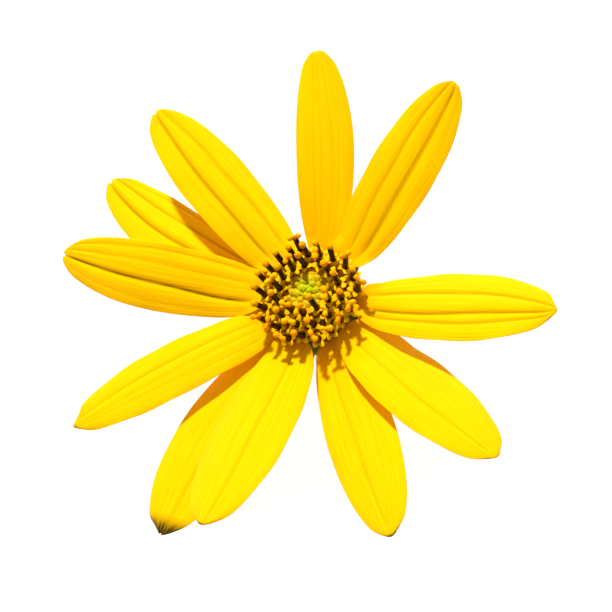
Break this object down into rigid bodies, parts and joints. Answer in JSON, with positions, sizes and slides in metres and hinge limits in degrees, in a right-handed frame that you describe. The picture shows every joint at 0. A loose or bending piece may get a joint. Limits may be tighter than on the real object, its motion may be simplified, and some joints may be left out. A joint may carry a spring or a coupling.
{
  "type": "jerusalem artichoke flower",
  "caption": "Open yellow sunflower-like head cut below its green bracts, with long ribbed ray florets round a small disc of dark-tubed florets and green buds.",
  "frame": {"origin": "centre of the small flat cut under the head, at the height of the surface that the head lies on", "axes": "+Z along the head's axis, up out of the disc; +Y towards the ray floret at the top of the picture"},
  "size_m": [0.0835, 0.0823, 0.0262],
  "materials": {
    "ray_yellow": "soft satin petal with fine lengthwise veins",
    "disc_orange": "matte florets with dark brown anther tubes and orange pollen",
    "bud_green": "matte closed buds",
    "bract_green": "matte hairy leaf"
  },
  "bodies": {
    "root": {"receptacle_and_bracts": "bract_green", "ray_floret_01": "ray_yellow", "ray_floret_02": "ray_yellow", "ray_floret_03": "ray_yellow", "ray_floret_04": "ray_yellow", "ray_floret_05": "ray_yellow", "ray_floret_06": "ray_yellow", "ray_floret_07": "ray_yellow", "ray_floret_08": "ray_yellow", "ray_floret_09": "ray_yellow", "ray_floret_10": "ray_yellow", "ray_floret_11": "ray_yellow", "disc_florets": "disc_orange", "disc_buds": "bud_green"}
  },
  "joints": []
}
